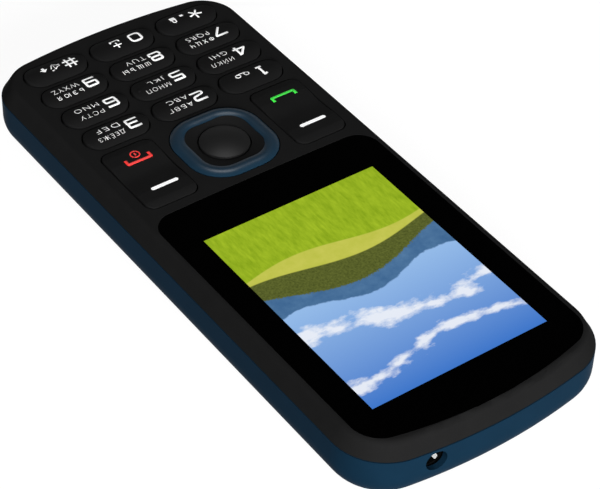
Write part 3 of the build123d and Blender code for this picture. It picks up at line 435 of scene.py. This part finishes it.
letter_strokes = {
    "Ф": (0.84, [([(0.42, 0), (0.42, 1)], 0, False),
                 ([(0, 0.22), (0.84, 0.22), (0.84, 0.84), (0, 0.84)], 0.3, True)]),
    "Х": (0.72, [([(0, 0), (0.72, 1)], 0, False), ([(0, 1), (0.31, 0.57)], 0, False),
                 ([(0.41, 0.43), (0.72, 0)], 0, False)]),
    "Ц": (0.78, [([(0, 1), (0, 0.07), (0.78, 0.07), (0.78, -0.2)], 0, False),
                 ([(0.62, 1), (0.62, 0.14)], 0, False)]),
    "Ч": (0.62, [([(0, 1), (0, 0.5), (0.55, 0.5)], 0.25, False), ([(0.62, 0), (0.62, 1)], 0, False)]),
    "Ш": (0.9, [([(0, 1), (0, 0.07), (0.9, 0.07), (0.9, 1)], 0, False),
                ([(0.45, 0.14), (0.45, 1)], 0, False)]),
    "Щ": (1.04, [([(0, 1), (0, 0.07), (1.04, 0.07), (1.04, -0.2)], 0, False),
                 ([(0.44, 0.14), (0.44, 1)], 0, False), ([(0.88, 0.14), (0.88, 1)], 0, False)]),
    "Ъ": (0.84, [([(0, 0.93), (0.26, 0.93), (0.26, 0)], 0, False),
                 ([(0.33, 0.07), (0.84, 0.07), (0.84, 0.56), (0.33, 0.56)], 0.24, False)]),
    "Ы": (0.94, [([(0, 1), (0, 0)], 0, False),
                 ([(0.07, 0.07), (0.58, 0.07), (0.58, 0.56), (0.07, 0.56)], 0.24, False),
                 ([(0.94, 0), (0.94, 1)], 0, False)]),
    "Ь": (0.6, [([(0, 1), (0, 0)], 0, False),
                ([(0.07, 0.07), (0.6, 0.07), (0.6, 0.56), (0.07, 0.56)], 0.24, False)]),
    "Э": (0.72, [([(0, 0.84), (0.12, 0.93), (0.72, 0.93), (0.72, 0.07), (0.12, 0.07), (0, 0.16)],
                  0.3, False),
                 ([(0.2, 0.5), (0.65, 0.5)], 0, False)]),
    "Ю": (1.06, [([(0, 0), (0, 1)], 0, False), ([(0.07, 0.5), (0.27, 0.5)], 0, False),
                 ([(0.34, 0.07), (1.06, 0.07), (1.06, 0.93), (0.34, 0.93)], 0.34, True)]),
    "Я": (0.66, [([(0.66, 0), (0.66, 1)], 0, False),
                 ([(0.59, 0.93), (0.04, 0.93), (0.04, 0.45), (0.59, 0.45)], 0.24, False),
                 ([(0.36, 0.38), (0.06, 0)], 0, False)]),
}
upper_line = [(-31.6, -30.6), (-38.93, -37.93), (-46.36, -45.36)]
lower_line = [(-34.1, -32.75), (-41.38, -40.03), (-48.63, -47.28)]
signs = {
    "1": [(ring_points(x, -33.3, 0.5, dot_turns), 0, True) for x in (-14.87, -12.97)]
         + [([(-14.87, -33.85), (-12.97, -33.85)], 0, False)],
    "0": [([(-0.1, -55.35), (-0.1, -55.95), (1.7, -55.95), (1.7, -55.35)], 0, False),
          ([(0.8, -55.2), (0.8, -53.5)], 0, False), ([(-0.1, -54.35), (0.68, -54.35)], 0, False),
          ([(0.92, -54.35), (1.7, -54.35)], 0, False)],
    "star": [([(-12.95, -55.3), (-12.95, -54.45), (-12.25, -54.45), (-12.25, -55.3)], 0.3, False)],
    "hash": [([(13.4, -54.95), (13.85, -54.95), (14.55, -54.3), (14.55, -56.05), (13.85, -55.45),
               (13.4, -55.45)], 0, True),
             ([(14.85, -54.2), (15.4, -54.2)], 0, False), ([(14.75, -55.9), (15.35, -54.75)], 0, False)],
}
sign_line = {"1": 0.22, "0": 0.3, "star": 0.22, "hash": 0.2}
sign_shift = (0.2, 0.27, 0)


def patch(points):
    """A flat filled shape from its outline."""
    shape = bmesh.new()
    shape.faces.new([shape.verts.new((x, y, 0)) for x, y in points])
    mesh = bpy.data.meshes.new("patch")
    shape.to_mesh(mesh)
    shape.free()
    return mesh


patches = {
    "star": [[(-13.2, -56.25), (-12.0, -56.25), (-12.0, -55.25), (-13.2, -55.25)],
             [(-15.1, -56.2), (-14.4, -56.2), (-14.4, -55.55), (-15.1, -55.55)]],
    "hash": [[(16.45, -56.0), (17.0, -56.0), (17.0, -55.35), (17.5, -55.35), (16.72, -54.5),
              (15.95, -55.35), (16.45, -55.35)]],
}
crown = 0.55
cap_edge = 13.03
flange_lip = 0.45
for index, name in enumerate(key_names):
    row, column = divmod(index, 3)
    low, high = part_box("key_" + name)
    middle_y = (low.y + high.y) / 2 / MM
    half_height = (high.y - low.y) / 2 / MM - flange_lip
    bow = (half_height**2 + crown**2) / (2 * crown)

    def cap_height(x, y):
        """Height of this cap's crowned top."""
        return cap_edge + crown - bow + sqrt(bow**2 - (y - middle_y) ** 2)

    digit = strokes(digit_strokes[name], thin_line if name in ("star", "hash") else digit_line)
    left = digit_left[column] + (narrow_shift if name in ("1", "star") else 0)
    digit.transform(Matrix.Translation((left, digit_low[row], 0)) @ Matrix.Diagonal((*digit_scale, 1, 1)))
    flat = [digit]
    for words, left, right, line in letters.get(name, []):
        low_y, high_y = (upper_line, lower_line)[line][row]
        if words[0] in letter_strokes:
            flat += stroked(words, left, right, low_y, high_y)
        else:
            flat.append(lettering(words, left, right, low_y, high_y))
    drawn = [patch(points) for points in patches.get(name, [])]
    if name in signs:
        drawn.append(strokes(signs[name], sign_line[name]))
    for mesh in drawn:
        mesh.transform(Matrix.Translation(sign_shift))
    flat += drawn
    printed("legend_" + name, flat, cap_height, legend_white, "key_" + name + "_body")


# Function keys. Two tall rocking caps of the same black, creased across the middle. Each has a
# white bar above and a call sign below, green on the left and red on the right. Bar and sign
# carry a faint painted glow.

dress(key_black, "function_key_left", "function_key_right")
# The call signs' faint glow is painted light, not a lamp.
sign_green = plastic("sign_green", shade(52, 228, 62), 0.5, mottle=0.04, painted_glow=0.2)
sign_red = plastic("sign_red", shade(226, 40, 34), 0.5, mottle=0.04, painted_glow=0.2)
wave_crest = 13.34
wave_drop = 0.38
wave_middle = -18.76
wave_half = 8.85


def rocker_height(x, y):
    """Height of the function keys' waved top."""
    reach = abs(y - wave_middle) / wave_half
    if reach < 0.5:
        return wave_crest - wave_drop * (0.5 + 0.5 * cos(2 * pi * reach))
    return wave_crest


bar_ends = {"left": (-19.65, -13.95, -14.4), "right": (13.0, 18.65, -14.45)}
bar_thickness = 0.8
bar_rounding = 0.38
call_line = 0.6
power_line = 0.26
for side, (start, end, y) in bar_ends.items():
    pill = bmesh.new()
    bmesh.ops.create_grid(pill, x_segments=1, y_segments=1, size=0.5)
    bmesh.ops.scale(pill, vec=(end - start, bar_thickness, 1), verts=pill.verts)
    bmesh.ops.bevel(pill, geom=pill.verts[:], offset=bar_rounding, segments=5, profile=0.5,
                    affect="VERTICES", material=-1)
    bmesh.ops.translate(pill, vec=((start + end) / 2, y, 0), verts=pill.verts)
    mesh = bpy.data.meshes.new("pill")
    pill.to_mesh(mesh)
    pill.free()
    printed("bar_" + side, [mesh], rocker_height, legend_white, "function_key_" + side + "_body")
call_sign = [strokes([([(-19.2, -23.0), (-19.2, -24.15), (-14.3, -24.15), (-14.3, -23.0)], 0.12, False)],
                     call_line)]
printed("call_sign", call_sign, rocker_height, sign_green, "function_key_left_body")
hang_up = [strokes([([(13.5, -23.75), (13.5, -22.5), (18.35, -22.5), (18.35, -23.75)], 0.12, False)],
                   call_line),
           strokes([(ring_points(15.8, -24.45, 0.9, dot_turns), 0.1, True)], power_line),
           patch([(15.65, -24.8), (15.95, -24.8), (15.95, -24.1), (15.65, -24.1)])]
printed("hang_up_sign", hang_up, rocker_height, sign_red, "function_key_right_body")


# Navigation key. A blue lacquered ring with a black dished inlay, which tilts on a rubber pad,
# and a round black key in its middle.

dress(plastic("ring_blue", (0.0062, 0.022, 0.040), 0.3, specular=0.07), "nav_ring")
dress(key_black, "nav_inlay")
dress(plastic("ok_black", (0.008, 0.008, 0.0081), 0.36, grain=0.002, specular=0.04), "ok_key")
rubber = plastic("rubber_black", (0.004, 0.004, 0.004), 0.75, grain=0.01, specular=0.01)
dress(rubber, "nav_pad", "keypad_mat")


# Board and what stands on it. A green board with steel domes under a film, small lamps between
# the keys, a shield can, and black moulded chips and connectors.

dress(plastic("dome_steel", (0.6, 0.6, 0.58), 0.3, metallic=1.0, grain=0.002), "dome_sheet")
dress(plastic("light_white", (0.85, 0.85, 0.78), 0.4), "key_lights")
dress(plastic("board_green", (0.008, 0.09, 0.035), 0.35, grain=0.006, grain_size=0.6), "main_board")
moulded_black = plastic("moulded_black", (0.012, 0.012, 0.013), 0.5, grain=0.005)
dress(moulded_black, "board_chips", "battery_connector", "loudspeaker", "chassis")
dress(plastic("screw_steel", (0.3, 0.3, 0.3), 0.35, metallic=1.0, grain=0.002), "case_screws")
dress(plastic("antenna_copper", (0.7, 0.36, 0.18), 0.3, metallic=1.0, grain=0.002), "antenna_strip")
dress(plastic("weight_grey", (0.3, 0.3, 0.31), 0.4, metallic=1.0, grain=0.003), "motor_weight")


# Headphone socket. A black moulded barrel behind a round hole in the top end, with a bright
# plated spring contact in its bore.

dress(plastic("socket_black", (0.002, 0.002, 0.002), 0.5, specular=0.05), "headphone_socket")
dress(plastic("contact_gold", (0.92, 0.92, 0.90), 0.4, metallic=0.2), "jack_contact")


# Battery and cards. A grey wrapped cell that lifts out of its bay, and two white cards that
# slide under the board.

dress(plastic("battery_grey", (0.14, 0.145, 0.15), 0.42, grain=0.004), "battery")
dress(plastic("card_white", (0.78, 0.78, 0.77), 0.4), "sim_card_1", "sim_card_2")


# Rear cover. A dark blue moulded shell that wraps the back and the sides up to the seam, satin
# outside, and unclips downwards.

cover_blue = plastic("cover_blue", (0.0045, 0.0184, 0.0365), 0.42, grain=0.003, specular=0.004)
dress(cover_blue, "rear_cover")


# Stage. A plain floor that reads as white from the camera, an even light all round, a soft lamp
# beyond the top end, one above that only gives highlights, and the photograph's camera.

floor_drop = 0.2 * MM
floor_glow = 0.92
even_light = 0.35
floor_sheet = bmesh.new()
bmesh.ops.create_grid(floor_sheet, x_segments=1, y_segments=1, size=3)
bmesh.ops.translate(floor_sheet, vec=(0, 0, -floor_drop), verts=floor_sheet.verts)
floor_mesh = bpy.data.meshes.new("floor")
floor_sheet.to_mesh(floor_mesh)
floor_sheet.free()
floor = bpy.data.objects.new("floor", floor_mesh)
bpy.context.collection.objects.link(floor)
floor_paint = bpy.data.materials.new("floor_paint")
floor_paint.use_nodes = True
tree = floor_paint.node_tree
shader = tree.nodes["Principled BSDF"]
shader.inputs["Base Color"].default_value = (0.12, 0.12, 0.12, 1)
shader.inputs["Roughness"].default_value = 0.9
shader.inputs["Specular IOR Level"].default_value = 0.0
ray = tree.nodes.new("ShaderNodeLightPath")
seen = value_of("MAXIMUM", value_of("MAXIMUM", ray.outputs["Is Camera Ray"], ray.outputs["Is Glossy Ray"]),
                ray.outputs["Is Transmission Ray"])
tree.links.new(value_of("MULTIPLY", seen, floor_glow), shader.inputs["Emission Strength"])
shader.inputs["Emission Color"].default_value = (1, 1, 1, 1)
floor_mesh.materials.append(floor_paint)

world = bpy.data.worlds.new("studio")
bpy.context.scene.world = world
world.use_nodes = True
tree = world.node_tree
ray = tree.nodes.new("ShaderNodeLightPath")
place = tree.nodes.new("ShaderNodeTexCoord")
parts = tree.nodes.new("ShaderNodeSeparateXYZ")
tree.links.new(place.outputs["Generated"], parts.inputs["Vector"])
fade = tree.nodes.new("ShaderNodeMapRange")
fade.inputs["From Min"].default_value = 0.1
fade.inputs["From Max"].default_value = 0.6
fade.inputs["To Min"].default_value = 1.0
fade.inputs["To Max"].default_value = 0.3
tree.links.new(parts.outputs["Z"], fade.inputs["Value"])
mirrored = value_of("MAXIMUM", ray.outputs["Is Glossy Ray"], ray.outputs["Is Transmission Ray"])
faded = value_of("MULTIPLY", mirrored, fade.outputs["Result"])
seen = value_of("MAXIMUM", faded, ray.outputs["Is Camera Ray"])
tree.links.new(value_of("MAXIMUM", seen, even_light), tree.nodes["Background"].inputs["Strength"])
tree.nodes["Background"].inputs["Color"].default_value = (1, 1, 1, 1)


def lamp(name, place, target, size, power, glint=False):
    """A square soft light that points at the target. A glint only shows as a highlight."""
    light = bpy.data.lights.new(name, "AREA")
    light.size = size
    light.energy = power
    holder = bpy.data.objects.new(name, light)
    bpy.context.collection.objects.link(holder)
    holder.visible_diffuse = not glint
    holder.location = place
    holder.rotation_euler = (Vector(target) - Vector(place)).to_track_quat("-Z", "Y").to_euler()


lamp("top_end_light", (0.33, 1.0, 0.33), (0, 0, 0), 0.4, 22)
lamp("upper_light", (-0.18, -0.24, 0.9), (0, 0, 0), 0.35, 9, glint=True)

right = (-0.81382436, 0.5805149, 0.02631264)
down = (0.37028471, 0.55293525, -0.74642605)
ahead = (-0.44786063, -0.59771654, -0.66494797)
spot = (0.175869, 0.240150, 0.266770)
camera = bpy.data.objects.new("camera", bpy.data.cameras.new("camera"))
bpy.context.collection.objects.link(camera)
camera.data.sensor_width = 36
camera.data.lens = 131.526
camera.data.clip_start = 0.01
camera.matrix_world = Matrix([[right[i], -down[i], -ahead[i], spot[i]] for i in range(3)] + [[0, 0, 0, 1]])
bpy.context.scene.camera = camera
bpy.context.scene.view_settings.view_transform = "Standard"
